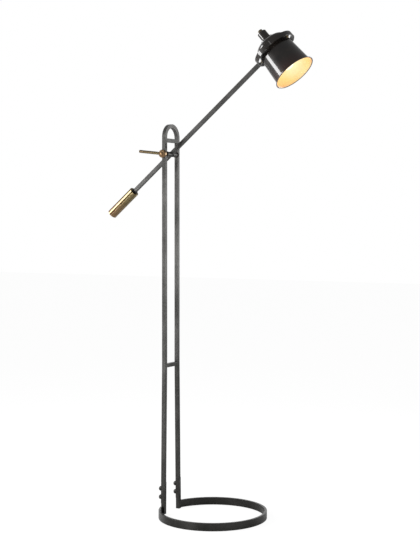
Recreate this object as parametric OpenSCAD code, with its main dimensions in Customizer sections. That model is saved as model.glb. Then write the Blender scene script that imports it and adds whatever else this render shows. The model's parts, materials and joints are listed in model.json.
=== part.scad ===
// Counterbalanced floor lamp: a hoop base, a looped post of square bar, a tilting arm with
// a round counterweight, and a spun shade carried in a ring at the arm's end.
// The origin is the centre of the hoop on the floor. +Z is up and +X points to the head.

/* [Base hoop] */
// Outer diameter of the hoop
hoop_d = 360; // [300:1:420]
// Height of the flat strip that is bent into the hoop
hoop_h = 25.4; // [16:0.1:40]
// Thickness of that strip
hoop_t = 8; // [5:0.5:12]
// How far the hoop's outer face stands out behind the uprights
hoop_proud = 2; // [0:0.1:4]

/* [Post loop] */
// Side of the square bar of the post, the uprights and the crossbars
bar = 12.7; // [10:0.1:16]
// Clear gap between the two legs of the loop
post_gap = 66; // [50:1:80]
// Height of the top of the loop above the pivot
loop_rise = 102; // [96:1:180]
// Height of the middle of the upper crossbar above the pivot
upper_crossbar_rise = 46; // [40:1:50]
// Height of the middle of the lower crossbar, where the legs begin to spread
lower_crossbar_z = 497; // [300:1:700]
// How far each leg has moved outwards at the floor
leg_spread = 7.7; // [0:0.1:20]

/* [Splice] */
// Height of the foot of the post, where the half lap begins
lap_low_z = 36; // [30:1:45]
// Height of the top of the upright, where the half lap ends
lap_high_z = 107; // [100:1:140]
// How far the upright stands proud of the post's front face
lap_step = 1; // [0:0.1:2]
// Height of the lower bolt of the splice
splice_low_z = 56.5; // [52:0.5:66]
// Distance between the two bolts of one splice
splice_pitch = 28; // [20:1:32]
// Diameter of the domed bolt head
splice_head_d = 16; // [10:0.5:18]
// Height of the domed bolt head
splice_head_h = 11; // [7:0.5:14]
// Height of the straight rim under that dome
splice_rim_h = 4; // [1:0.5:5]
// Diameter of the bolt's shank
splice_bolt_d = 6; // [4:0.5:7]

/* [Pivot and clamp] */
// Height of the arm's pivot
pivot_z = 1210; // [1060:1:1360]
// Diameter of the pivot bolt
pivot_bolt_d = 8; // [6:0.5:10]
// Outer diameter of the sleeves between the arm and the legs
sleeve_d = 17; // [13:0.5:24]
// Thickness of each friction washer
washer_t = 1.5; // [1:0.1:3]
// Diameter of each friction washer
washer_d = 22; // [18:0.5:30]
// Diameter of the brass hub outside the post
hub_d = 27; // [22:0.5:34]
// Length of the brass hub
hub_h = 12; // [11:0.5:16]
// Diameter of the clamp lever's rod
lever_d = 10; // [6:0.5:10]
// Distance from the pivot to the tip of the lever
lever_reach = 94; // [60:1:140]
// Angle of the lever above the horizontal
lever_angle = 6.5; // [0:0.1:40]
// Diameter of the domed screw in the middle of the hub
hub_screw_d = 13; // [9:0.5:18]

/* [Arm] */
// Side of the square bar of the arm
arm_bar = 12; // [9:0.5:16]
// Angle of the arm above the horizontal
arm_angle = 39.75; // [20:0.05:60]
// Distance from the pivot to the middle of the head's ring
head_reach = 515; // [420:0.5:620]
// Distance from the pivot to the near end of the counterweight
weight_reach = 194; // [120:1:240]
// Diameter of the counterweight
weight_d = 34; // [24:0.5:40]
// Length of the counterweight
weight_len = 122; // [80:1:160]
// Length of bar held inside the counterweight
weight_grip = 60; // [30:1:70]
// Diameter of the collar where the bar enters the counterweight
collar_d = 20; // [18:0.5:23]
// Height of that collar
collar_h = 4; // [2:0.5:10]
// Diameter of the grub screw in the counterweight
grub_d = 5; // [3:0.5:6]

/* [Head ring] */
// Outer radius of the ring
ring_r = 74; // [72:0.5:90]
// Thickness of the ring's band
ring_t = 4; // [2.5:0.5:6]
// Width of the ring's band
ring_w = 15; // [10:0.5:24]
// Angle between the line of the two studs and the line of the arm
stud_lean = 1; // [0:0.1:3]
// How far the ring is turned about the line of the studs
ring_roll = 4; // [0:0.5:15]
// How far the shade stands turned about the line of the studs
shade_roll = 1; // [-15:0.5:15]
// Diameter of the shouldered stud between ring and shade
stud_d = 8; // [7:0.5:10]
// Diameter of the thinner part of the stud, which turns in the shade's bush
journal_d = 5; // [4:0.5:6]

/* [Shade] */
// Radius of the shade where its wall meets the dome
shade_rear_r = 57; // [50:0.5:59]
// Radius of the shade where its wall meets the lip
shade_front_r = 65.8; // [60:0.1:72]
// Distance from the ring's middle back to the foot of the dome
dome_foot = 6; // [4:0.5:14]
// Height of the dome at the back of the shade
dome_rise = 27; // [20:1:40]
// Distance from the ring's middle forward to the start of the lip
lip_start = 102; // [80:0.5:130]
// Radius of the curve that flares the lip
lip_flare = 5; // [3:0.5:12]
// Radius of the rolled edge of the lip
lip_bead_r = 1.3; // [1:0.1:2.5]
// Thickness of the shade's sheet
shade_t = 1.2; // [1:0.1:2.5]

/* [Neck and switch] */
// Diameter of the turned neck on the back of the shade
neck_d = 50; // [34:0.5:54]
// Height of that neck
neck_h = 8; // [3:0.5:10]
// Diameter of the switch cap
cap_d = 31; // [24:0.1:33]
// Length of the switch cap
cap_len = 32; // [28:0.5:50]
// Thickness of the switch cap's wall
cap_t = 1.2; // [1:0.1:2]
// Diameter of the threaded nipple that holds the socket, the shade and the neck together
nipple_d = 9.6; // [8:0.1:11]
// Diameter of the switch body
switch_d = 20; // [16:0.5:21]
// Length of the switch body
switch_len = 22; // [16:0.5:24]
// Diameter of the switch's threaded bush
switch_bush_d = 8; // [7:0.5:10]
// Diameter of the switch's shaft
shaft_d = 4; // [3:0.5:5]
// Diameter of the switch's knob
knob_d = 15; // [12:0.5:20]
// Height of the switch's knob
knob_h = 7; // [6:0.5:14]
// Number of flutes round the knob
knob_flutes = 24; // [12:1:30]

/* [Socket and bulb] */
// Outer diameter of the lamp socket
socket_d = 36; // [34:0.5:44]
// Length of the lamp socket
socket_len = 42; // [38:0.5:50]
// Diameter of the bulb's screw base
base_d = 26; // [24:0.1:27]
// Length of the bulb's screw base
base_len = 26; // [22:0.5:28]
// Diameter of the bulb's globe
globe_d = 58; // [45:1:70]
// Length of the glass from the screw base to its tip
glass_len = 80; // [60:1:86]
// Thickness of the bulb's glass
glass_t = 1; // [0.6:0.1:2]
// Diameter of the cord hole in the grommet
cord_d = 6; // [4:0.5:8]

/* [Hidden] */
// Radial clearance of a shaft that turns in its hole
turn_gap = 0.05;
// Clearance of a fixed piece in its hole
fit_gap = 0.1;
$fn = 64;

hoop_r = hoop_d / 2;
leg_y = (post_gap + bar) / 2;
arch_r = leg_y + bar / 2;
loop_top_z = pivot_z + loop_rise;
upper_crossbar_z = pivot_z + upper_crossbar_rise;
arch_z = loop_top_z - arch_r;
foot_y = leg_y + leg_spread + bar / 2;
upright_x = -(sqrt(pow(hoop_r, 2) - pow(foot_y, 2)) - hoop_proud - bar / 2);
post_x = upright_x - lap_step;
splice_zs = [splice_low_z, splice_low_z + splice_pitch];

hub_y = -(leg_y + bar / 2);
bolt_grip = 6;
bolt_len = 2 * (leg_y + bar / 2) + bolt_grip;
sleeve_len = (post_gap - arm_bar) / 2 - washer_t;

weight_gap = 0.2;
arm_tail = weight_reach + weight_grip;
ring_in_r = ring_r - ring_t;
stud_thread_d = 6;
stud_thread_len = 20;
stud_seat = sqrt(pow(ring_in_r, 2) - pow(stud_d / 2, 2));
screw_head_d = 12;
screw_head_h = 3;

taper = (shade_front_r - shade_rear_r) / (lip_start + dome_foot);
shade_pivot_r = shade_rear_r + taper * dome_foot;
bush_d = 9;
bush_flange_d = 14;
bush_flange_t = 1.5;
bush_seat = shade_pivot_r + 0.7;
bush_out = bush_seat + bush_flange_t;
bush_in = shade_pivot_r - shade_t - 1.4;
nut_t = 4;
nut_af = 8;
stud_tip = bush_in - nut_t - 1.5;

dome_power = 3;
dome_top = dome_foot + dome_rise;
cap_base = dome_top + neck_h;
cap_top = cap_base + cap_len;
socket_top = dome_z(socket_d / 2, shade_t) - fit_gap;
socket_mouth = socket_top - socket_len;
socket_floor = 5;
nipple_nut_h = 3;
nipple_low = socket_top - socket_floor - nipple_nut_h - 1;
contact_t = 2;
base_top = nipple_low - contact_t;
base_low = base_top - base_len;
globe_r = globe_d / 2;
globe_z = base_low - glass_len + globe_r;
glass_neck_r = base_d / 2;
glass_neck_low = min(base_low, socket_mouth) - 1;
knob_low = cap_top + 2.5;
grommet_d = cord_d + 6;
grommet_lip = 1.8;
grommet_r = neck_d / 2 + grommet_d / 2 + grommet_lip + 1.7;
dome_steps = 14;
arc_steps = 8;

black_iron = "#2b2a29";
aged_brass = "#8c7246";
gloss_bronze = "#1f1c1b";
plated_steel = "#8d8d8b";

// ---- Places ----

// Lies in the arm's own frame: X along the arm to the head, Y across, Z square to both.
module on_arm() {
  translate([post_x, 0, pivot_z]) rotate([0, -arm_angle, 0]) children();
}

// The ring's middle, with X along the line of the studs.
module from_arm_to_studs() {
  translate([head_reach, 0, 0]) rotate([0, -stud_lean, 0]) children();
}

// Lies in the ring's frame: Z is the ring's own axis.
module on_ring() {
  on_arm() from_arm_to_studs() rotate([ring_roll, 0, 0]) children();
}

// Lies in the head's frame: the origin is the ring's middle and Z points out of the shade's back.
module on_head() {
  on_arm() from_arm_to_studs() rotate([shade_roll, 0, 0]) children();
}

// A profile in the Y-Z plane becomes a plate, thick along X, whose middle is at x.
module across(x, thick) {
  translate([x - thick / 2, 0, 0]) rotate([90, 0, 90]) linear_extrude(thick) children();
}

// A cylinder along Y from y0 to y1, at the pivot of the arm.
module pivot_rod(d, y0, y1) {
  translate([post_x, y1, pivot_z]) rotate([90, 0, 0]) cylinder(d = d, h = y1 - y0);
}

// ---- Post loop ----

// Side of one leg at a height, measured from the middle of the loop.
function leg_at(z) = leg_y + (z < lower_crossbar_z ? leg_spread * (1 - z / lower_crossbar_z) : 0);

// Everything inside the loop's middle line, grown by d, from a height to the round top.
module loop_outline(z0, d) {
  right = [for (z = [z0, lower_crossbar_z, arch_z]) [leg_at(z) + d, z]];
  left = [for (p = right) [-p[0], p[1]]];
  polygon(concat(right, [left[2], left[1], left[0]]));
  translate([0, arch_z]) circle(r = leg_y + d, $fn = 128);
}

// Outline of the straight foot of one leg, below the bend.
module foot_outline(side) {
  polygon([
    for (c = [[0, -1], [0, 1], [lap_high_z, 1], [lap_high_z, -1]])
      [side * (leg_at(c[0]) + c[1] * bar / 2), c[0]]
  ]);
}

module splice_holes(side, d) {
  for (z = splice_zs)
    translate([post_x - bar, side * leg_at(z), z]) rotate([0, 90, 0]) cylinder(d = d, h = 3 * bar);
}

module post_loop() {
  color(black_iron) difference() {
    across(post_x, bar) difference() {
      loop_outline(lap_low_z, bar / 2);
      loop_outline(0, -bar / 2);
    }
    translate([post_x, -2 * foot_y, 0]) cube([bar, 4 * foot_y, lap_high_z]);
    for (side = [-1, 1]) splice_holes(side, splice_bolt_d + 2 * fit_gap);
    pivot_rod(pivot_bolt_d + 2 * turn_gap, -arch_r - bar, arch_r + bar);
  }
}

// The lower piece of a leg: full bar at the floor, a half-thickness tongue beside the post.
module upright(side) {
  color(black_iron) difference() {
    across(upright_x, bar) foot_outline(side);
    translate([post_x - bar, -2 * foot_y, lap_low_z]) cube([bar, 4 * foot_y, lap_high_z]);
    splice_holes(side, splice_bolt_d + 2 * fit_gap);
  }
}

module upright_lever_side() {
  upright(-1);
}

module upright_far_side() {
  upright(1);
}

module crossbar(z) {
  half_gap = leg_at(z) - bar / 2;
  color(black_iron) translate([post_x - bar / 2, -half_gap, z - bar / 2]) cube([bar, 2 * half_gap, bar]);
}

module upper_crossbar() {
  crossbar(upper_crossbar_z);
}

// The lower one fits the spread that begins at its own middle.
module lower_crossbar() {
  low = lower_crossbar_z - bar / 2;
  high = lower_crossbar_z + bar / 2;
  zs = [low, lower_crossbar_z, high];
  right = [for (z = zs) [leg_at(z) - bar / 2, z]];
  left = [for (i = [len(zs) - 1:-1:0]) [-(leg_at(zs[i]) - bar / 2), zs[i]]];
  color(black_iron) across(post_x, bar) polygon(concat(right, left));
}

// One bolt along Z, whose head stands on the plane z = 0.
module splice_bolt() {
  head_r = splice_head_d / 2;
  shank_r = splice_bolt_d / 2;
  low = -bar - lap_step;
  rise = splice_head_h - splice_rim_h;
  dome = [for (i = [0:7]) [head_r * cos(90 * i / 8), splice_rim_h + rise * sin(90 * i / 8)]];
  shank = [[0, low], [shank_r, low], [shank_r, 0], [head_r, 0]];
  rotate_extrude() polygon(concat(shank, dome, [[0, splice_head_h]]));
}

module splice_bolts() {
  color(black_iron) for (side = [-1, 1], z = splice_zs)
    translate([post_x - bar / 2, side * leg_at(z), z]) rotate([0, -90, 0]) splice_bolt();
}

// ---- Base ----

module base_hoop() {
  color(black_iron) difference() {
    cylinder(r = hoop_r, h = hoop_h, $fn = 160);
    translate([0, 0, -1]) cylinder(r = hoop_r - hoop_t, h = hoop_h + 2, $fn = 160);
    across(-hoop_r, hoop_r) polygon([
      [-leg_at(-1) - bar / 2, -1], [leg_at(-1) + bar / 2, -1],
      [leg_at(hoop_h + 1) + bar / 2, hoop_h + 1], [-leg_at(hoop_h + 1) - bar / 2, hoop_h + 1]
    ]);
  }
}

// ---- Clamp ----

module pivot_bolt() {
  color(plated_steel) pivot_rod(pivot_bolt_d, hub_y - bolt_grip, hub_y - bolt_grip + bolt_len);
}

// The lever's own frame: Z runs along its rod, from the pivot's axis to the tip.
module on_lever() {
  translate([post_x, hub_y - hub_h / 2, pivot_z]) rotate([0, lever_angle - 90, 0]) children();
}

module lever_hub() {
  edge = 1.2;
  color(aged_brass) difference() {
    translate([post_x, hub_y, pivot_z]) rotate([90, 0, 0]) rotate_extrude() polygon([
      [0, 0], [hub_d / 2 - edge, 0], [hub_d / 2, edge], [hub_d / 2, hub_h - 2 * edge],
      [hub_d / 2 - 2 * edge, hub_h], [0, hub_h]
    ]);
    pivot_rod(pivot_bolt_d + 2 * fit_gap, hub_y - bolt_grip, hub_y + 1);
    on_lever() translate([0, 0, lever_seat()]) cylinder(d = lever_d + 2 * fit_gap, h = hub_d);
    translate([post_x, hub_y - hub_h + hub_screw_seat(), pivot_z]) rotate([90, 0, 0])
      cylinder(d = hub_screw_d + 2 * fit_gap, h = hub_h);
  }
}

// Where the lever's rod ends inside the hub, and how deep the domed screw sits in its face.
function lever_seat() = hub_d / 2 - 5;
function hub_screw_seat() = 2;

module lever_rod() {
  tip = 1.5;
  length = lever_reach - lever_seat();
  color(aged_brass) on_lever() translate([0, 0, lever_seat()]) rotate_extrude() polygon([
    [0, 0], [lever_d / 2, 0], [lever_d / 2, length - tip], [lever_d / 2 - tip, length], [0, length]
  ]);
}

module hub_screw() {
  rise = 4;
  dome_r = (pow(hub_screw_d / 2, 2) + pow(rise, 2)) / (2 * rise);
  color(aged_brass) translate([post_x, hub_y - hub_h + hub_screw_seat(), pivot_z])
    rotate([90, 0, 0]) rotate_extrude() {
      square([hub_screw_d / 2, hub_screw_seat()]);
      translate([0, hub_screw_seat()]) intersection() {
        translate([0, rise - dome_r]) circle(r = dome_r);
        square([hub_screw_d, rise]);
      }
    }
}

// ---- Arm ----

module arm_beam() {
  color(black_iron) on_arm() difference() {
    translate([-arm_tail, -arm_bar / 2, -arm_bar / 2]) cube([arm_tail + head_reach, arm_bar, arm_bar]);
    from_arm_to_studs() rotate([ring_roll, 0, 0])
      cylinder(r = ring_r, h = 3 * arm_bar, center = true, $fn = 128);
    rotate([90, 0, 0]) cylinder(d = pivot_bolt_d + 2 * turn_gap, h = 2 * arm_bar, center = true);
    from_arm_to_studs() translate([-ring_r - stud_thread_len, 0, 0]) rotate([0, 90, 0])
      cylinder(d = stud_thread_d + 2 * fit_gap, h = 2 * stud_thread_len);
  }
}

module pivot_sleeves() {
  color(black_iron) for (side = [-1, 1]) difference() {
    y0 = min(side * arm_bar / 2, side * (arm_bar / 2 + sleeve_len));
    pivot_rod(sleeve_d, y0, y0 + sleeve_len);
    pivot_rod(pivot_bolt_d + 2 * turn_gap, y0 - 1, y0 + sleeve_len + 1);
  }
}

module friction_washers() {
  color("#3c3a36") for (side = [-1, 1]) difference() {
    y0 = side > 0 ? post_gap / 2 - washer_t : -post_gap / 2;
    pivot_rod(washer_d, y0, y0 + washer_t);
    pivot_rod(pivot_bolt_d + 2 * turn_gap, y0 - 1, y0 + washer_t + 1);
  }
}

module counterweight() {
  bore_d = arm_bar * sqrt(2) + weight_gap;
  edge = 0.8;
  color(aged_brass) on_arm() translate([-weight_reach, 0, 0]) rotate([0, -90, 0]) difference() {
    rotate_extrude() polygon([
      [0, 0], [weight_d / 2 - edge, 0], [weight_d / 2, edge], [weight_d / 2, weight_len - edge],
      [weight_d / 2 - edge, weight_len], [0, weight_len]
    ]);
    translate([0, 0, -1]) cylinder(d = bore_d, h = weight_grip + 1 + weight_gap);
    grub_hole(grub_d + 2 * fit_gap);
  }
}

module grub_hole(d) {
  translate([-arm_bar / 2, 0, weight_grip / 2]) rotate([0, -90, 0]) cylinder(d = d, h = weight_d);
}

// The grub screw bears on the flat of the bar from below.
module weight_grub_screw() {
  length = (weight_d - arm_bar) / 2 - 1;
  color("#3a3a3a") on_arm() translate([-weight_reach, 0, 0]) rotate([0, -90, 0])
    translate([-arm_bar / 2, 0, weight_grip / 2]) rotate([0, -90, 0]) difference() {
      cylinder(d = grub_d, h = length);
      translate([0, 0, length - 2]) cylinder(d = grub_d / 2, h = 3, $fn = 6);
    }
}

module weight_collar() {
  color("#191817") on_arm() translate([-weight_reach, 0, 0]) rotate([0, 90, 0]) difference() {
    cylinder(d = collar_d, h = collar_h);
    cube([arm_bar + fit_gap, arm_bar + fit_gap, 3 * collar_h], center = true);
  }
}

module head_ring() {
  color(gloss_bronze) on_ring() difference() {
    translate([0, 0, -ring_w / 2]) cylinder(r = ring_r, h = ring_w, $fn = 128);
    translate([0, 0, -ring_w]) cylinder(r = ring_in_r, h = 2 * ring_w, $fn = 128);
    rotate([0, 90, 0]) cylinder(d = stud_thread_d + 2 * fit_gap, h = 4 * ring_r, center = true);
    translate([ring_r - screw_head_h, 0, 0]) rotate([0, 90, 0])
      cylinder(d = screw_head_d + 2 * fit_gap, h = ring_t);
  }
}

// Shouldered studs: the shoulder spans the gap, the journal turns in the shade's bush.
// The near one also screws the ring to the arm, and the far one has a flush head.
module shade_stud(thread_out) {
  cylinder(d = journal_d, h = bush_out - stud_tip);
  translate([0, 0, bush_out - stud_tip]) cylinder(d = stud_d, h = stud_seat - bush_out);
  translate([0, 0, stud_seat - stud_tip])
    cylinder(d = stud_thread_d, h = ring_in_r - stud_seat + thread_out);
}

module shade_studs() {
  color(plated_steel) on_ring() {
    translate([-stud_tip, 0, 0]) rotate([0, -90, 0]) shade_stud(ring_t + stud_thread_len - 1);
    translate([stud_tip, 0, 0]) rotate([0, 90, 0]) {
      shade_stud(ring_t);
      translate([0, 0, ring_r - screw_head_h - stud_tip]) cylinder(d = screw_head_d, h = screw_head_h);
    }
  }
}

module stud_nuts() {
  color(plated_steel) on_ring() for (side = [-1, 1])
    translate([side * (bush_in - nut_t), 0, 0]) rotate([0, side * 90, 0]) difference() {
      cylinder(d = nut_af / cos(30), h = nut_t, $fn = 6);
      translate([0, 0, -1]) cylinder(d = journal_d + 2 * fit_gap, h = nut_t + 2);
    }
}

// ---- Shade ----

// Height of the dome at a distance r from its axis, with its surface set in by t.
function dome_z(r, t) =
  dome_foot + (dome_rise - t) * pow(1 - pow(r / (shade_rear_r - t), dome_power), 1 / dome_power);

// Points of the shade's wall, from the middle of the dome round to the lip, set in by t.
function dome_points(t) = [
  for (i = [0:dome_steps - 1]) let (a = 90 - 90 * i / dome_steps)
    [
      (shade_rear_r - t) * pow(cos(a), 2 / dome_power),
      dome_foot + (dome_rise - t) * pow(sin(a), 2 / dome_power)
    ]
];
function flare_points(t) = [
  for (i = [0:arc_steps]) let (a = 180 + 75 * i / arc_steps)
    [
      shade_front_r + lip_flare + (lip_flare + t) * cos(a),
      -lip_start + (lip_flare + t) * sin(a)
    ]
];
function bead_points() = [
  for (i = [0:arc_steps]) let (a = 150 - 300 * i / arc_steps)
    [
      shade_front_r + lip_flare + lip_bead_r * cos(a),
      -lip_start - lip_flare - shade_t / 2 + lip_bead_r * sin(a)
    ]
];

module shade_section() {
  wall = concat(dome_points(0), [[shade_rear_r, dome_foot]], flare_points(0));
  outer = concat(wall, bead_points());
  inner = concat(dome_points(shade_t), [[shade_rear_r - shade_t, dome_foot]], flare_points(shade_t));
  polygon(concat(outer, [for (i = [len(inner) - 1:-1:0]) inner[i]]));
}

// The tilted seat of the cord grommet on the far side of the dome.
module at_grommet() {
  step = 1;
  seat = dome_z(grommet_r, 0);
  lean = atan((dome_z(grommet_r - step, 0) - dome_z(grommet_r + step, 0)) / (2 * step));
  translate([0, grommet_r, seat]) rotate([-lean, 0, 0]) children();
}

module shade_shell() {
  color(gloss_bronze) on_head() difference() {
    rotate_extrude($fn = 128) shade_section();
    translate([0, 0, dome_foot]) cylinder(d = nipple_d + 2 * fit_gap, h = 2 * dome_rise);
    rotate([0, 90, 0]) cylinder(d = bush_d + 2 * fit_gap, h = 4 * ring_r, center = true);
    at_grommet() cylinder(d = grommet_d + 2 * fit_gap, h = 6 * shade_t, center = true);
  }
}

module shade_bushes() {
  color(aged_brass) on_head() for (side = [-1, 1])
    translate([side * bush_in, 0, 0]) rotate([0, side * 90, 0]) difference() {
      union() {
        cylinder(d = bush_d, h = bush_out - bush_in);
        translate([0, 0, bush_seat - bush_in]) cylinder(d = bush_flange_d, h = bush_flange_t);
      }
      translate([0, 0, -1]) cylinder(d = journal_d + 2 * turn_gap, h = bush_out - bush_in + 2);
    }
}

module cord_grommet() {
  slack = 0.5;
  low = -shade_t - slack - grommet_lip;
  color("#151515") on_head() at_grommet() difference() {
    union() {
      translate([0, 0, low]) cylinder(d = grommet_d, h = slack + grommet_lip - low);
      for (z = [low, slack]) translate([0, 0, z])
        cylinder(d = grommet_d + 2 * grommet_lip, h = grommet_lip);
    }
    translate([0, 0, low - 1]) cylinder(d = cord_d, h = slack + grommet_lip - low + 2);
  }
}

// Its underside follows the dome and stands a little clear of it towards the edge.
module neck_collar() {
  edge = 1;
  rings = 5;
  seat = [
    for (i = [3:rings]) let (r = neck_d / 2 * i / rings)
      [r, dome_z(r, 0) - dome_top + 0.3 * pow(i / rings, 2)]
  ];
  side = [[neck_d / 2, neck_h - edge], [neck_d / 2 - edge, neck_h], [0, neck_h]];
  color(gloss_bronze) on_head() translate([0, 0, dome_top]) difference() {
    rotate_extrude() polygon(concat([[0, 0], [neck_d / rings, 0]], seat, side));
    translate([0, 0, -1]) cylinder(d = nipple_d + 2 * fit_gap, h = neck_h + 2);
  }
}

module socket_nipple() {
  length = cap_base + nipple_nut_h + 1 - nipple_low;
  color(plated_steel) on_head() translate([0, 0, nipple_low]) difference() {
    cylinder(d = nipple_d, h = length);
    translate([0, 0, -1]) cylinder(d = nipple_d - 3, h = length + 2);
  }
}

module nipple_nuts() {
  across_flats = 14;
  color(plated_steel) on_head() for (z = [socket_top - socket_floor - nipple_nut_h, cap_base])
    translate([0, 0, z]) difference() {
      cylinder(d = across_flats / cos(30), h = nipple_nut_h, $fn = 6);
      translate([0, 0, -1]) cylinder(d = nipple_d + 2 * fit_gap, h = nipple_nut_h + 2);
    }
}

module lamp_socket() {
  color("#1a1a1a") on_head() difference() {
    translate([0, 0, socket_mouth]) cylinder(d = socket_d, h = socket_len);
    translate([0, 0, socket_mouth - 1])
      cylinder(d = base_d + 6 * fit_gap, h = socket_len - socket_floor + 1);
    translate([0, 0, socket_mouth]) cylinder(d = nipple_d + 2 * fit_gap, h = 2 * socket_len);
  }
}

// The brass tongue between the end of the nipple and the bulb's tip.
module socket_contact() {
  color(aged_brass) on_head() translate([0, 0, base_top]) cylinder(d = nipple_d, h = contact_t);
}

// The screw base, with its insulated tip and its centre contact.
module bulb_base() {
  tip = 5;
  color("#b9b9b4") on_head() rotate_extrude() polygon([
    [0, base_low], [base_d / 2, base_low], [base_d / 2, base_top - tip],
    [base_d / 4, base_top - 1], [base_d / 6, base_top], [0, base_top]
  ]);
}

// Points of the glass, set in by t: the straight neck inside the socket's mouth, then the
// globe round to its tip.
function glass_points(t) = concat(
  [[glass_neck_r - t, base_low], [glass_neck_r - t, glass_neck_low]],
  [for (i = [0:3 * arc_steps]) let (a = 52 - 142 * i / (3 * arc_steps))
    [(globe_r - t) * cos(a), globe_z + (globe_r - t) * sin(a)]]
);

module bulb_glass() {
  outer = glass_points(0);
  inner = glass_points(glass_t);
  color("#fff1cf") on_head() rotate_extrude()
    polygon(concat(outer, [for (i = [len(inner) - 1:-1:0]) inner[i]]));
}

// ---- Switch ----

module switch_cap() {
  edge = 1.5;
  color(gloss_bronze) on_head() translate([0, 0, cap_base]) difference() {
    rotate_extrude() polygon([
      [cap_d / 2 - cap_t, 0], [cap_d / 2, 0], [cap_d / 2, cap_len - edge], [cap_d / 2 - edge, cap_len],
      [0, cap_len], [0, cap_len - cap_t], [cap_d / 2 - cap_t, cap_len - cap_t]
    ]);
    translate([0, 0, cap_len - 3]) cylinder(d = switch_bush_d + 2 * fit_gap, h = 6);
  }
}

module switch_body() {
  color("#101010") on_head() difference() {
    union() {
      translate([0, 0, cap_top - cap_t - switch_len]) cylinder(d = switch_d, h = switch_len);
      translate([0, 0, cap_top - cap_t]) cylinder(d = switch_bush_d, h = cap_t + 2);
    }
    translate([0, 0, cap_top - cap_t - switch_len / 2])
      cylinder(d = shaft_d + 2 * turn_gap, h = switch_len);
  }
}

module switch_shaft() {
  low = cap_top - cap_t - switch_len / 2;
  color(aged_brass) on_head() translate([0, 0, low]) cylinder(d = shaft_d, h = knob_low + knob_h / 2 - low);
}

module switch_knob() {
  edge = 1;
  color(aged_brass) on_head() translate([0, 0, knob_low]) difference() {
    rotate_extrude() polygon([
      [0, 0], [knob_d / 2, 0], [knob_d / 2, knob_h - edge], [knob_d / 2 - edge, knob_h], [0, knob_h]
    ]);
    translate([0, 0, -1]) cylinder(d = shaft_d + 2 * fit_gap, h = knob_h / 2 + 1);
    for (i = [0:knob_flutes - 1]) rotate(i * 360 / knob_flutes)
      translate([knob_d / 2 + 0.3, 0, -1]) cylinder(d = 1.4, h = knob_h + 2, $fn = 16);
  }
}

base_hoop();
upright_lever_side();
upright_far_side();
post_loop();
upper_crossbar();
lower_crossbar();
splice_bolts();
pivot_bolt();
lever_hub();
lever_rod();
hub_screw();
arm_beam();
pivot_sleeves();
friction_washers();
counterweight();
weight_collar();
weight_grub_screw();
head_ring();
shade_studs();
stud_nuts();
shade_shell();
shade_bushes();
cord_grommet();
neck_collar();
socket_nipple();
nipple_nuts();
lamp_socket();
socket_contact();
bulb_base();
bulb_glass();
switch_cap();
switch_body();
switch_shaft();
switch_knob();
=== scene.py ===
import json
import math

import bmesh
import bpy
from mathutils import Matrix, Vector


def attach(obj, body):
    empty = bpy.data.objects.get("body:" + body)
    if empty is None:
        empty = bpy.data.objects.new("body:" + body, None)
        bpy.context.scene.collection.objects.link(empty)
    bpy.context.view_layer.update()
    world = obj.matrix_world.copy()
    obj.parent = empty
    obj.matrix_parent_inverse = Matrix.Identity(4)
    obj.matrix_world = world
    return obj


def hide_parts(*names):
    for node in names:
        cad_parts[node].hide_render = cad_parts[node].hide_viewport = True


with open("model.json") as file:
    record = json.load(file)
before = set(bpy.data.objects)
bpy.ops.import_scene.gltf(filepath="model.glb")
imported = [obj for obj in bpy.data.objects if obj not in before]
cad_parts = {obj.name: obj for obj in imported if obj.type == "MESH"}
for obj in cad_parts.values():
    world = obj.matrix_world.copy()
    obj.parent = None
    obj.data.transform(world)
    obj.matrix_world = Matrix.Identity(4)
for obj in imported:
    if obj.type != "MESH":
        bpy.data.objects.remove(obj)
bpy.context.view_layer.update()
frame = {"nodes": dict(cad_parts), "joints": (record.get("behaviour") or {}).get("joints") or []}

# ---- View ----
# The photograph looks level, from the lever's side and turned toward the shade's end. Its
# horizon lies above the middle of its 560 rows, so the lens is shifted down.
image_h = 560
focal_px = 1173.7
horizon_px = 220.4
sensor_mm = 36.0
level_look = math.radians(90)
view_turn = math.radians(30.46)
eye_distance = 3.900
eye_aside = 0.0091
eye_height = 0.986

camera = bpy.data.cameras.new("photo_view")
camera.sensor_fit = "AUTO"
camera.sensor_width = sensor_mm
camera.lens = focal_px / image_h * sensor_mm
camera.shift_y = (horizon_px - image_h / 2) / image_h
view = bpy.data.objects.new("photo_view", camera)
bpy.context.scene.collection.objects.link(view)
view.location = (
    eye_distance * math.sin(view_turn) - eye_aside * math.cos(view_turn),
    -eye_distance * math.cos(view_turn) - eye_aside * math.sin(view_turn),
    eye_height,
)
view.rotation_euler = (level_look, 0, view_turn)
bpy.context.scene.camera = view
bpy.context.scene.view_settings.view_transform = "Standard"


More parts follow.
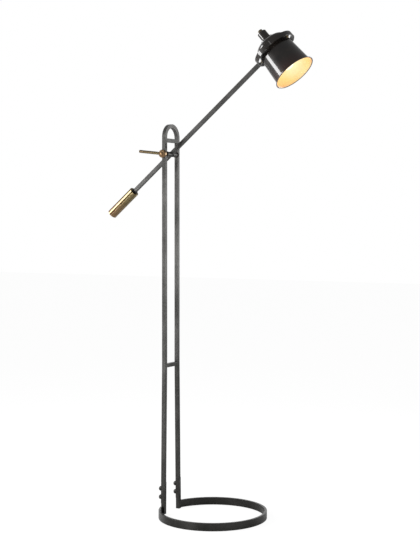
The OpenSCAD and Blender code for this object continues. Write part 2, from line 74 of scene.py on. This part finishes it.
# ---- Studio ----
# A pale floor under a white room. Both look white to the lens, and so does the wall behind
# the lamp in its reflections, but they light it only softly. Four soft boxes stand round it.
class Wire:
    """One socket in a material. Arithmetic on it adds Math nodes to the same material."""

    def __init__(self, tree, socket=None):
        self.tree = tree
        self.socket = socket

    def node(self, kind, settings, inputs, output=0):
        """Adds a node: its settings first, then the values or wires of its sockets."""
        made = self.tree.nodes.new("ShaderNode" + kind)
        for name, value in settings.items():
            if name == "stops":
                first, *others = value
                made.color_ramp.elements.remove(made.color_ramp.elements[1])
                made.color_ramp.elements[0].position, made.color_ramp.elements[0].color = first
                for position, colour in others:
                    made.color_ramp.elements.new(position).color = colour
            else:
                setattr(made, name, value)
        for name, value in inputs.items():
            if isinstance(value, Wire):
                self.tree.links.new(value.socket, made.inputs[name])
            else:
                made.inputs[name].default_value = value
        return Wire(self.tree, made.outputs[output] if len(made.outputs) else None)

    def feeds(self, place):
        self.tree.links.new(self.socket, place)

    def maths(self, operation, *terms):
        return self.node("Math", {"operation": operation}, dict(enumerate(terms)))

    def __add__(self, other):
        return self.maths("ADD", self, other)

    __radd__ = __add__

    def __sub__(self, other):
        return self.maths("SUBTRACT", self, other)

    def __rsub__(self, other):
        return self.maths("SUBTRACT", other, self)

    def __mul__(self, other):
        return self.maths("MULTIPLY", self, other)

    __rmul__ = __mul__

    def clamped(self):
        return self.node("Clamp", {}, {"Value": self})


room_light = 0.42
room_white = 1.0
room_dim = 0.30
backdrop_way = (-0.736, 0.677, 0.0)
backdrop_edge = 0.66
backdrop_full = 0.86
plain_white = (1, 1, 1, 1)
floor_half = 14.0
floor_drop = 0.0006
floor_grey = (0.80, 0.80, 0.80, 1)
floor_glow = 1.12
floor_lift = 0.82
floor_mirror = 0.10


def spread(w, value, low, high):
    """Value stretched so that low becomes 0 and high becomes 1."""
    return w.node("MapRange", {}, {"Value": value, "From Min": low, "From Max": high})


def ray_masks(w):
    """1 on rays straight from the lens or through glass, and 1 on mirrored rays."""
    lens = w.node("LightPath", {}, {}, "Is Camera Ray")
    glass = w.node("LightPath", {}, {}, "Is Transmission Ray")
    return w.maths("MAXIMUM", lens, glass), w.node("LightPath", {}, {}, "Is Glossy Ray")


world = bpy.data.worlds.new("white_room")
bpy.context.scene.world = world
world.use_nodes = True
background = world.node_tree.nodes["Background"]
w = Wire(world.node_tree)
seen, mirrored = ray_masks(w)
way = w.node("TexCoord", {}, {}, "Generated")
facing = w.node("VectorMath", {"operation": "DOT_PRODUCT"}, {0: way, 1: backdrop_way}, "Value")
backdrop = spread(w, facing, backdrop_edge, backdrop_full)
reflected = backdrop * (room_white - room_dim) + room_dim - room_light
strength = seen * (room_white - room_light) + mirrored * reflected + room_light
strength.feeds(background.inputs["Strength"])
background.inputs["Color"].default_value = plain_white

floor_material = bpy.data.materials.new("studio_floor")
floor_material.use_nodes = True
floor_material.node_tree.nodes.clear()
w = Wire(floor_material.node_tree)
seen, mirrored = ray_masks(w)
matt = w.node("BsdfDiffuse", {}, {"Color": floor_grey})
lit = w.node("Emission", {}, {"Color": plain_white, "Strength": floor_glow})
lifted = seen * floor_lift + mirrored * floor_mirror
mixed = w.node("MixShader", {}, {0: lifted, 1: matt, 2: lit})
w.node("OutputMaterial", {}, {"Surface": mixed})

mesh = bpy.data.meshes.new("studio_floor")
ways = ((-1, -1), (1, -1), (1, 1), (-1, 1))
corners = [(x * floor_half, y * floor_half, -floor_drop) for x, y in ways]
mesh.from_pydata(corners, [], [(0, 1, 2, 3)])
mesh.materials.append(floor_material)
floor = bpy.data.objects.new("studio_floor", mesh)
bpy.context.scene.collection.objects.link(floor)


def soft_box(name, centre, target, width, height, radiance):
    """A rectangular lamp that faces its target and that the lens doesn't see."""
    light = bpy.data.lights.new(name, "AREA")
    light.shape = "RECTANGLE"
    light.size = width
    light.size_y = height
    light.energy = radiance * math.pi * width * height
    lamp = bpy.data.objects.new(name, light)
    bpy.context.scene.collection.objects.link(lamp)
    lamp.location = centre
    lamp.rotation_euler = (Vector(target) - Vector(centre)).to_track_quat("-Z", "Y").to_euler()
    lamp.visible_camera = False


soft_box(
    "left_soft_box",
    centre=(-2.02, -1.30, 1.40),
    target=(0.0, 0.0, 1.40),
    width=0.85,
    height=1.60,
    radiance=14.0,
)
soft_box(
    "front_soft_box",
    centre=(1.10, -3.60, 2.60),
    target=(0.0, 0.0, 0.90),
    width=1.80,
    height=1.20,
    radiance=1.6,
)
soft_box(
    "right_soft_box",
    centre=(1.20, 1.75, 1.15),
    target=(0.0, 0.0, 1.15),
    width=0.90,
    height=1.30,
    radiance=3.6,
)
soft_box(
    "low_soft_box",
    centre=(-0.60, -2.30, 0.22),
    target=(-0.20, 0.0, 0.60),
    width=0.46,
    height=0.46,
    radiance=12.0,
)

# ---- Hoop ----
# The base is one flat steel strip rolled on edge into a hoop, cut at the back where the two
# uprights stand in it. It is blackened and rubbed along its length, so streaks run round it.
hoop_radius = 0.180
floor_centre = Vector((0, 0, 0))
to_head = Vector((1, 0, 0))
to_far_side = Vector((0, 1, 0))
to_top = Vector((0, 0, 1))
joined_gap = 2e-6
flat_angle = math.radians(0.4)
sharp_angle = math.radians(42)
shaded_angle = math.radians(38)
iron_dark = (0.030, 0.0295, 0.0270, 1)
iron_light = (0.105, 0.103, 0.099, 1)
iron_worn = (0.230, 0.220, 0.200, 1)
# Painted shade: the colour that the iron fades to near the floor.
iron_painted_shade = (0.013, 0.0125, 0.0105, 1)
grain_along = 5.0
grain_across = 900.0
painted_shade_top = 0.55


def new_finish(name):
    material = bpy.data.materials.new(name)
    material.use_nodes = True
    return material, Wire(material.node_tree), material.node_tree.nodes["Principled BSDF"]


def mix(w, share, first, second):
    """A colour that goes from first to second as share goes from 0 to 1."""
    return w.node("Mix", {"data_type": "RGBA"}, {0: share, 6: first, 7: second}, 2)


def noise(w, place, scale, detail=3.0, roughness=0.55):
    """Soft random patches, about 0.5 on average."""
    sockets = {"Vector": place, "Scale": scale, "Detail": detail, "Roughness": roughness}
    return w.node("TexNoise", {}, sockets, "Fac")


def patches(w, place, scale, low, high, detail=3.0, roughness=0.55):
    """Random patches: 0 where the noise is under low, and 1 where it is over high."""
    return spread(w, noise(w, place, scale, detail, roughness), low, high)


def rubbed_edge(w, radius, gain):
    """1 where the surface turns a corner and the finish has rubbed thin, and 0 elsewhere."""
    rounded = w.node("Bevel", {"samples": 8}, {"Radius": radius})
    flat = w.node("NewGeometry", {}, {}, "Normal")
    alike = w.node("VectorMath", {"operation": "DOT_PRODUCT"}, {0: rounded, 1: flat}, "Value")
    return ((1 - alike) * gain).clamped()


def relief(w, shader, height, strength, distance):
    """A fine unevenness that only bends the light."""
    sockets = {"Strength": strength, "Distance": distance, "Height": height}
    w.node("Bump", {}, sockets).feeds(shader.inputs["Normal"])


def straight_place(w, centre, along, side):
    """Distances from centre along a bar, across it and up through it."""
    object_place = w.node("TexCoord", {}, {}, "Object")
    place = w.node("VectorMath", {"operation": "SUBTRACT"}, {0: object_place, 1: tuple(centre)})
    return [
        w.node("VectorMath", {"operation": "DOT_PRODUCT"}, {0: place, 1: tuple(way)}, "Value")
        for way in (along, side, along.cross(side))
    ]


def round_place(w, centre, along, side):
    """Distance along a round piece's axis, angle round it in radians, and distance from it."""
    length, x, y = straight_place(w, centre, along, side)
    radius = w.maths("POWER", x * x + y * y, 0.5)
    return length, w.maths("ARCTAN2", y, x), radius


def iron_finish(name, streak_place, roughness=0.40, painted_shade_strength=0.75):
    """Blackened mill bar: streaks along the grain, corners rubbed pale, with painted shade darker
    low down.
    """
    material, w, shader = new_finish(name)
    place = w.node("TexCoord", {}, {}, "Object")
    along, across, over = streak_place(w)
    stretched = {0: along * grain_along, 1: across * grain_across, 2: over * grain_across}
    grain = w.node("CombineXYZ", {}, stretched)
    streak = patches(w, grain, scale=1.0, low=0.32, high=0.68, detail=4.0, roughness=0.65)
    patch = patches(w, place, scale=11.0, low=0.35, high=0.65)
    speck = patches(w, place, scale=520.0, low=0.60, high=0.72, detail=2.0)
    tone = (streak * 0.30 + patch * 0.70).clamped()
    # Painted shade: the iron darkens towards the floor, where less light reaches it.
    height = straight_place(w, floor_centre, to_top, to_head)[0]
    painted_shade = spread(w, height + patch * 0.06, painted_shade_top, 0.0) * painted_shade_strength
    colour = mix(w, painted_shade, mix(w, tone, iron_dark, iron_light), iron_painted_shade)
    chipped = patches(w, place, scale=60.0, low=0.46, high=0.74, detail=4.0, roughness=0.7)
    worn = rubbed_edge(w, radius=0.0011, gain=5.0) * chipped * 0.4
    mix(w, worn, colour, iron_worn).feeds(shader.inputs["Base Color"])
    (worn * 0.4 + 0.5).feeds(shader.inputs["Metallic"])
    (roughness - 0.08 * streak + 0.10 * speck).feeds(shader.inputs["Roughness"])
    relief(w, shader, streak * 0.6 + speck * 0.4, strength=0.05, distance=0.0002)
    shader.inputs["Specular IOR Level"].default_value = 0.35
    return material


def dressed(node, body, material, edge):
    """The CAD piece with its faces joined up and its sharp edges rounded by edge metres."""
    shape = bmesh.new()
    shape.from_mesh(frame["nodes"][node].data)
    bmesh.ops.remove_doubles(shape, verts=shape.verts, dist=joined_gap)
    bmesh.ops.dissolve_limit(
        shape, angle_limit=flat_angle, verts=shape.verts, edges=shape.edges, delimit={"NORMAL"}
    )
    joined = [line for line in shape.edges if len(line.link_faces) == 2]
    sharp = [line for line in joined if line.calc_face_angle() > sharp_angle]
    if sharp:
        bmesh.ops.bevel(
            shape,
            geom=sharp,
            offset=edge,
            segments=2,
            profile=0.6,
            affect="EDGES",
            clamp_overlap=True,
        )
    mesh = bpy.data.meshes.new(node + "_dressed")
    shape.to_mesh(mesh)
    shape.free()
    mesh.materials.clear()
    mesh.materials.append(material)
    mesh.shade_smooth()
    mesh.set_sharp_from_angle(angle=shaded_angle)
    piece = bpy.data.objects.new(node + "_dressed", mesh)
    bpy.context.scene.collection.objects.link(piece)
    piece.modifiers.new("flat_faces", "WEIGHTED_NORMAL").keep_sharp = True
    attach(piece, body)
    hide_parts(node)


def round_the_hoop(w):
    height, angle, radius = round_place(w, floor_centre, to_top, to_head)
    return angle * hoop_radius, height, radius


hoop_finish = iron_finish("hoop_blackened", round_the_hoop, roughness=0.32, painted_shade_strength=0.68)
dressed("base_hoop", "stand", hoop_finish, edge=0.0008)

# ---- Uprights and post ----
# The two lower uprights, the bent loop of the post and its two crossbars are one size of
# square bar, with slightly rounded corners. The uprights are half lapped to the loop.
bar_edge = 0.0009
crossbar_edge = 0.0006


def up_the_post(w):
    return straight_place(w, floor_centre, to_top, to_head)


def across_the_post(w):
    return straight_place(w, floor_centre, to_far_side, to_head)


post_finish = iron_finish("post_blackened", up_the_post)
crossbar_finish = iron_finish("crossbar_blackened", across_the_post)
for node in ("upright_lever_side", "upright_far_side", "post_loop"):
    dressed(node, "stand", post_finish, bar_edge)
for node in ("upper_crossbar", "lower_crossbar"):
    dressed(node, "stand", crossbar_finish, crossbar_edge)

# ---- Splice bolts ----
# Two domed steel bolts hold each half lap. They are blackened with the post, and the rims of
# their heads have rubbed a little brighter.
bolt_finish = iron_finish("splice_bolts_blackened", across_the_post)
dressed("splice_bolts", "stand", bolt_finish, edge=0.0003)

# ---- Pivot ----
# The arm tilts on a zinc-plated steel bolt across the post. Two turned and blackened sleeves
# keep it in the middle, and two pressed fibre washers rub beside them.
joints = {joint["name"]: joint for joint in frame["joints"]}
pivot = Vector(joints["arm_pivot"]["pos_m"])
zinc_dull = (0.40, 0.40, 0.39, 1)
zinc_bright = (0.52, 0.52, 0.50, 1)
fibre_dark = (0.030, 0.024, 0.020, 1)
fibre_light = (0.055, 0.044, 0.036, 1)


def mottled_finish(name, first, second, metallic, roughness, scale):
    """A plain bought piece: two close tones in fine patches, with uneven gloss."""
    material, w, shader = new_finish(name)
    place = w.node("TexCoord", {}, {}, "Object")
    patch = patches(w, place, scale, low=0.35, high=0.65)
    fine = noise(w, place, scale * 14.0, detail=2.0)
    mix(w, patch, first, second).feeds(shader.inputs["Base Color"])
    (roughness + 0.12 * patch + 0.06 * fine).feeds(shader.inputs["Roughness"])
    relief(w, shader, fine, strength=0.12, distance=0.0002)
    shader.inputs["Metallic"].default_value = metallic
    return material


def finish_node(node, material):
    """A CAD piece that stays as it is takes this finish."""
    slots = frame["nodes"][node].data.materials
    slots.clear()
    slots.append(material)


def along_pivot(w):
    return straight_place(w, pivot, to_far_side, to_head)


plated_finish = mottled_finish(
    "zinc_plate", zinc_dull, zinc_bright, metallic=1.0, roughness=0.28, scale=90.0
)
fibre_finish = mottled_finish(
    "pressed_fibre", fibre_dark, fibre_light, metallic=0.0, roughness=0.7, scale=160.0
)
sleeve_finish = iron_finish("sleeves_blackened", along_pivot)
finish_node("pivot_bolt", plated_finish)
finish_node("friction_washers", fibre_finish)
dressed("pivot_sleeves", "arm", sleeve_finish, edge=0.0005)

# ---- Clamp lever ----
# A turned brass hub screws onto the pivot bolt outside the post. A brass rod is let into its
# rim as the lever, and a domed screw closes its face. The brass has browned with handling.
lever_angle = math.radians(6.5)
lever_way = Vector((-math.cos(lever_angle), 0, math.sin(lever_angle)))
brass_bright = (0.420, 0.325, 0.180, 1)
brass_olive = (0.185, 0.143, 0.064, 1)
brass_brown = (0.205, 0.112, 0.056, 1)
brass_stain = (0.062, 0.052, 0.036, 1)


def brass_finish(name, centre, along, side, ring_scale, brown_from, brown_to, roughness, age):
    """Turned brass under old lacquer: tool rings, olive to red-brown, darker with age."""
    material, w, shader = new_finish(name)
    length, angle, radius = round_place(w, centre, along, side)
    place = w.node("TexCoord", {}, {}, "Object")
    turned = {0: length * ring_scale, 1: radius * ring_scale, 2: angle * 0.35}
    rings = w.node("CombineXYZ", {}, turned)
    ring = patches(w, rings, scale=1.0, low=0.35, high=0.65, roughness=0.6)
    blotch = patches(w, place, scale=55.0, low=0.34, high=0.66, detail=4.0, roughness=0.62)
    wander = noise(w, place, scale=24.0) * 0.03 - 0.015
    brown = spread(w, length + wander, brown_from, brown_to)
    colour = mix(w, brown, brass_olive, brass_brown)
    colour = mix(w, blotch * 0.32 + ring * 0.10, colour, brass_bright)
    smut = patches(w, place, scale=70.0, low=0.50, high=0.75, detail=4.0, roughness=0.65)
    stain = (smut * 0.35 + age).clamped()
    colour = mix(w, stain, colour, brass_stain)
    rubbed = rubbed_edge(w, radius=0.0009, gain=4.0) * (0.6 - 0.5 * age)
    mix(w, rubbed, colour, brass_bright).feeds(shader.inputs["Base Color"])
    (roughness + 0.06 * ring + 0.10 * stain).feeds(shader.inputs["Roughness"])
    relief(w, shader, ring, strength=0.01, distance=0.00005)
    shader.inputs["Metallic"].default_value = 1.0
    shader.inputs["Coat Weight"].default_value = 0.18 * (1 - age)
    shader.inputs["Coat Roughness"].default_value = 0.14
    return material


hub_finish = brass_finish(
    "hub_brass",
    pivot,
    to_far_side,
    to_head,
    ring_scale=300.0,
    brown_from=-0.20,
    brown_to=-0.10,
    roughness=0.22,
    age=0.02,
)
lever_finish = brass_finish(
    "lever_brass",
    pivot,
    lever_way,
    to_far_side,
    ring_scale=40.0,
    brown_from=0.02,
    brown_to=0.12,
    roughness=0.30,
    age=0.55,
)
dressed("lever_hub", "clamp", hub_finish, edge=0.0005)
dressed("lever_rod", "clamp", lever_finish, edge=0.0004)
dressed("hub_screw", "clamp", hub_finish, edge=0.0003)

# ---- Arm ----
# One length of square bar, blackened like the post. It is drilled for the pivot bolt, and
# its upper end is scooped to seat against the ring.
arm_angle = math.radians(39.75)
arm_line = Vector((math.cos(arm_angle), 0, math.sin(arm_angle)))


def up_the_arm(w):
    return straight_place(w, pivot, arm_line, to_far_side)


arm_finish = iron_finish("arm_blackened", up_the_arm)
dressed("arm_beam", "arm", arm_finish, edge=0.0008)

# ---- Counterweight ----
# A solid brass bar, bored for the arm's end and held by a grub screw underneath. A black
# collar closes its mouth. Its polish has gone olive near the arm and red-brown at its tip.
weight_mouth = 0.194
weight_length = 0.122
collar_dark = (0.010, 0.0095, 0.009, 1)
collar_light = (0.022, 0.021, 0.020, 1)
weight_finish = brass_finish(
    "weight_brass",
    pivot - arm_line * weight_mouth,
    -arm_line,
    to_far_side,
    ring_scale=90.0,
    brown_from=weight_length * 0.30,
    brown_to=weight_length * 0.75,
    roughness=0.13,
    age=0.14,
)
collar_finish = mottled_finish(
    "oil_black", collar_dark, collar_light, metallic=0.6, roughness=0.35, scale=120.0
)
dressed("counterweight", "arm", weight_finish, edge=0.0004)
dressed("weight_collar", "arm", collar_finish, edge=0.0005)
finish_node("weight_grub_screw", collar_finish)

# ---- Head ring ----
# A ring of steel strip at the arm's end, lacquered dark bronze. Two shouldered studs cross
# from it to the shade, one through the arm's end and one on the far side, each with a nut.
head = Vector(joints["shade_turn"]["pos_m"])
stud_way = Vector(joints["shade_turn"]["axis"])
back_way = Vector(joints["switch_turn"]["axis"])
lacquer_dark = (0.0065, 0.0052, 0.0046, 1)
lacquer_warm = (0.0140, 0.0095, 0.0070, 1)
lacquer_rubbed = (0.110, 0.078, 0.040, 1)
lacquer_red = (0.0320, 0.0085, 0.0060, 1)
red_from = -0.060
red_to = -0.106
stud_dull = (0.20, 0.19, 0.17, 1)
stud_bright = (0.32, 0.30, 0.27, 1)


def lacquer_finish(name, ring_scale):
    """Deep bronze gloss lacquer: faint rings, redder near the warm lip, rubbed edges brown."""
    material, w, shader = new_finish(name)
    length, angle, radius = round_place(w, head, back_way, stud_way)
    place = w.node("TexCoord", {}, {}, "Object")
    turned = {0: length * ring_scale, 1: radius * ring_scale, 2: angle * 0.6}
    rings = w.node("CombineXYZ", {}, turned)
    ring = patches(w, rings, scale=1.0, low=0.35, high=0.65)
    cloud = patches(w, place, scale=26.0, low=0.36, high=0.64)
    dust = patches(w, place, scale=900.0, low=0.62, high=0.75, detail=2.0)
    near_lip = spread(w, length + cloud * 0.012, red_from, red_to) * 0.8
    colour = mix(w, near_lip, mix(w, cloud, lacquer_dark, lacquer_warm), lacquer_red)
    chipped = patches(w, place, scale=80.0, low=0.38, high=0.60, detail=4.0, roughness=0.7)
    rubbed = rubbed_edge(w, radius=0.0010, gain=4.0) * chipped
    mix(w, rubbed, colour, lacquer_rubbed).feeds(shader.inputs["Base Color"])
    (0.34 + 0.10 * cloud + 0.10 * dust).feeds(shader.inputs["Roughness"])
    (1 - rubbed * 0.6).feeds(shader.inputs["Coat Weight"])
    relief(w, shader, ring, strength=0.05, distance=0.0002)
    shader.inputs["Coat Roughness"].default_value = 0.06
    shader.inputs["Specular IOR Level"].default_value = 0.20
    return material


ring_finish = lacquer_finish("ring_lacquer", ring_scale=120.0)
stud_finish = mottled_finish(
    "stud_plate", stud_dull, stud_bright, metallic=1.0, roughness=0.30, scale=120.0
)
dressed("head_ring", "arm", ring_finish, edge=0.0018)
finish_node("shade_studs", stud_finish)
finish_node("stud_nuts", plated_finish)

# ---- Shade ----
# A bell spun from sheet: a domed back, a wall that widens slightly and a flared lip with a
# rolled edge. It is lacquered outside, and its cream lining glows with painted light from the
# bulb.
rear_radius = 0.0570
front_radius = 0.0658
dome_foot = 0.0060
dome_rise = 0.0270
dome_power = 3
lip_start = 0.1020
lip_flare = 0.0050
flare_from = 180
flare_turn = 75
bead_radius = 0.0013
bead_from = 150
bead_turn = 300
sheet = 0.0012
nipple_hole = 0.0049
dome_steps = 40
wall_steps = 24
flare_steps = 10
bead_steps = 14
spin_steps = 192
on_axis = 1e-7
lining_dull = (0.50, 0.40, 0.24, 1)
lining_pale = (0.56, 0.46, 0.30, 1)
lining_front = -0.109
lining_back = -0.040
lining_painted_light = 0.62
# Painted light: the colours that the lining glows in, though it is no lamp.
painted_light_amber = (1.0, 0.40, 0.10, 1)
painted_light_gold = (1.0, 0.66, 0.22, 1)
painted_light_straw = (1.0, 0.94, 0.66, 1)


def dome_line(inset):
    """Points of the domed back from the nipple hole outwards, set in by inset."""
    top = dome_rise - inset
    wide = rear_radius - inset
    first = math.acos((nipple_hole / wide) ** (dome_power / 2))
    angles = [first * (1 - i / dome_steps) for i in range(dome_steps + 1)]
    return [
        (wide * math.cos(a) ** (2 / dome_power), dome_foot + top * math.sin(a) ** (2 / dome_power))
        for a in angles
    ]


def wall_line(inset):
    """Points of the wall from the dome's foot to the start of the lip."""
    return [
        (
            rear_radius - inset + (front_radius - rear_radius) * i / wall_steps,
            dome_foot - (lip_start + dome_foot) * i / wall_steps,
        )
        for i in range(1, wall_steps)
    ]


def flare_line(inset):
    """Points of the flared lip, a quarter turn outwards that stops short at the bead."""
    reach = lip_flare + inset
    degrees = [flare_from + flare_turn * i / flare_steps for i in range(flare_steps + 1)]
    return [
        (front_radius + lip_flare + reach * math.cos(a), -lip_start + reach * math.sin(a))
        for a in map(math.radians, degrees)
    ]


def bead_line():
    """Points round the rolled edge, from its outer side to its inner side."""
    middle = -lip_start - lip_flare - sheet / 2
    degrees = [bead_from - bead_turn * i / bead_steps for i in range(bead_steps + 1)]
    return [
        (front_radius + lip_flare + bead_radius * math.cos(a), middle + bead_radius * math.sin(a))
        for a in map(math.radians, degrees)
    ]


def spun(name, line, centre, along, side, steps):
    """A closed line of (radius, height) points spun into a solid round an axis."""
    third = along.cross(side)
    turns = [2 * math.pi * i / steps for i in range(steps)]
    shape = bmesh.new()
    rings = []
    for radius, height in line:
        middle = centre + along * height
        if radius < on_axis:
            rings.append([shape.verts.new(middle)])
            continue
        outward = [side * math.cos(t) + third * math.sin(t) for t in turns]
        rings.append([shape.verts.new(middle + spoke * radius) for spoke in outward])
    for low, high in zip(rings, rings[1:] + rings[:1]):
        for i in range(steps):
            j = (i + 1) % steps
            below = [low[i % len(low)], low[j % len(low)]]
            above = [high[j % len(high)], high[i % len(high)]]
            corners = list(dict.fromkeys(below + above))
            if len(corners) > 2:
                shape.faces.new(corners)
    bmesh.ops.recalc_face_normals(shape, faces=shape.faces)
    mesh = bpy.data.meshes.new(name)
    shape.to_mesh(mesh)
    shape.free()
    mesh.shade_smooth()
    piece = bpy.data.objects.new(name, mesh)
    bpy.context.scene.collection.objects.link(piece)
    return piece


def lining_finish():
    """Cream lacquer inside the bell with painted light glowing from it: straw by the bulb, amber
    at the lip and the studs.
    """
    material, w, shader = new_finish("lining_cream_painted_light")
    length, angle, radius = round_place(w, head, back_way, stud_way)
    place = w.node("TexCoord", {}, {}, "Object")
    cloud = patches(w, place, scale=30.0, low=0.35, high=0.65)
    depth = spread(w, length, lining_front, lining_back)
    swing = w.maths("COSINE", angle)
    share = (depth * 0.70 + 0.45 - 0.55 * swing * swing + cloud * 0.08).clamped()
    stops = [(0.0, painted_light_amber), (0.40, painted_light_gold), (1.0, painted_light_straw)]
    w.node("ValToRGB", {"stops": stops}, {0: share}).feeds(shader.inputs["Emission Color"])
    mix(w, cloud, lining_dull, lining_pale).feeds(shader.inputs["Base Color"])
    (0.30 + 0.12 * cloud).feeds(shader.inputs["Roughness"])
    # Painted light: the lining glows by itself, standing in for the bulb's light on it.
    shader.inputs["Emission Strength"].default_value = lining_painted_light
    return material


outside = dome_line(0) + wall_line(0) + flare_line(0) + bead_line()
inside = dome_line(sheet) + wall_line(sheet) + flare_line(sheet)
shade = spun("spun_shade", outside + inside[::-1], head, back_way, stud_way, spin_steps)
shade.data.materials.append(lacquer_finish("shade_lacquer", ring_scale=260.0))
shade.data.materials.append(lining_finish())

# The lining starts past the rolled edge, which stays dark all round, and ends at the hole
# for the nipple.
lining_bands = range(len(outside) + 1, len(outside + inside) - 1)
for face in shade.data.polygons:
    if face.index // spin_steps in lining_bands:
        face.material_index = 1
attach(shade, "shade")
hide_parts("shade_shell")

# ---- Bushes and grommet ----
# Brass bushes line the two holes that the studs turn in. A rubber grommet fills the hole in
# the dome through which a cord would leave.
bush_dull = (0.46, 0.33, 0.15, 1)
bush_bright = (0.60, 0.45, 0.22, 1)
rubber_dark = (0.010, 0.010, 0.010, 1)
rubber_light = (0.020, 0.020, 0.019, 1)
bush_finish = mottled_finish(
    "bush_brass", bush_dull, bush_bright, metallic=1.0, roughness=0.25, scale=140.0
)
rubber_finish = mottled_finish(
    "grommet_rubber", rubber_dark, rubber_light, metallic=0.0, roughness=0.6, scale=200.0
)
finish_node("shade_bushes", bush_finish)
finish_node("cord_grommet", rubber_finish)

# ---- Socket ----
# A moulded socket hangs inside the dome on a hollow threaded nipple with two nuts. A brass
# tongue in its floor touches the bulb's tip.
moulded_dark = (0.012, 0.011, 0.010, 1)
moulded_light = (0.022, 0.020, 0.018, 1)
moulded_finish = mottled_finish(
    "moulded_black", moulded_dark, moulded_light, metallic=0.0, roughness=0.25, scale=60.0
)
dressed("lamp_socket", "shade", moulded_finish, edge=0.0008)
finish_node("socket_nipple", plated_finish)
finish_node("nipple_nuts", plated_finish)
finish_node("socket_contact", bush_finish)

# ---- Bulb ----
# A frosted globe bulb of blown glass with a bright plated screw base. Lit, the glass is warm
# white all over and palest toward its front.
glass_radius = 0.029
glass_neck = 0.013
glass_foot = -0.0056
glass_neck_end = -0.0116
glass_length = 0.080
glass_wall = 0.001
glass_steps = 40
glass_spin_steps = 96
neck_angle = math.radians(52)
tip_turn = math.radians(90)
pale_from = glass_foot - 0.010
pale_to = glass_foot - 0.045
glow_warm = (1.0, 0.60, 0.24, 1)
glow_pale = (1.0, 0.84, 0.52, 1)
glow_strength = 0.90
frost_dull = (0.90, 0.86, 0.78, 1)
frost_pale = (0.96, 0.93, 0.86, 1)
screw_dull = (0.66, 0.66, 0.64, 1)
screw_bright = (0.76, 0.76, 0.74, 1)


def glass_line(inset):
    """Points of the glass from its neck round the globe to its tip, set in by inset."""
    middle = glass_foot - glass_length + glass_radius
    reach = glass_radius - inset
    neck = [(glass_neck - inset, glass_foot), (glass_neck - inset, glass_neck_end)]
    angles = [neck_angle - (neck_angle + tip_turn) * i / glass_steps for i in range(glass_steps)]
    globe = [(reach * math.cos(a), middle + reach * math.sin(a)) for a in angles]
    return neck + globe + [(0.0, middle - glass_radius + inset)]


def glass_finish():
    """Frosted glass with a lamp burning behind it."""
    material, w, shader = new_finish("frosted_glass_lit")
    place = w.node("TexCoord", {}, {}, "Object")
    length, angle, radius = round_place(w, head, back_way, stud_way)
    frost = noise(w, place, scale=700.0, detail=2.0)
    pale = (spread(w, length, pale_from, pale_to) + frost * 0.1).clamped()
    mix(w, pale, glow_warm, glow_pale).feeds(shader.inputs["Emission Color"])
    mix(w, frost, frost_dull, frost_pale).feeds(shader.inputs["Base Color"])
    (0.35 + 0.2 * frost).feeds(shader.inputs["Roughness"])
    shader.inputs["Emission Strength"].default_value = glow_strength
    return material


both_sides = glass_line(0) + glass_line(glass_wall)[::-1]
glass = spun("frosted_globe", both_sides, head, back_way, stud_way, glass_spin_steps)
glass.data.materials.append(glass_finish())
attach(glass, "shade")
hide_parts("bulb_glass")
screw_finish = mottled_finish(
    "bulb_screw_cap", screw_dull, screw_bright, metallic=1.0, roughness=0.2, scale=150.0
)
finish_node("bulb_base", screw_finish)

# ---- Neck and switch cap ----
# A turned neck seats the tubular switch cap on the dome, and both are lacquered with the
# shade. A moulded switch sits in the cap, and its brass shaft comes out through the end.
cap_edge = 0.0005
cap_lacquer = lacquer_finish("cap_lacquer", ring_scale=200.0)
dressed("neck_collar", "shade", cap_lacquer, cap_edge)
dressed("switch_cap", "shade", cap_lacquer, cap_edge)
finish_node("switch_body", moulded_finish)
finish_node("switch_shaft", bush_finish)

# ---- Knob ----
# A small turned brass knob with fine flutes is fixed on the switch's shaft. Handling has
# darkened it more than the lever.
knob_finish = brass_finish(
    "knob_brass",
    head,
    back_way,
    stud_way,
    ring_scale=600.0,
    brown_from=2.0,
    brown_to=3.0,
    roughness=0.34,
    age=0.80,
)
dressed("switch_knob", "switch", knob_finish, edge=0.0002)
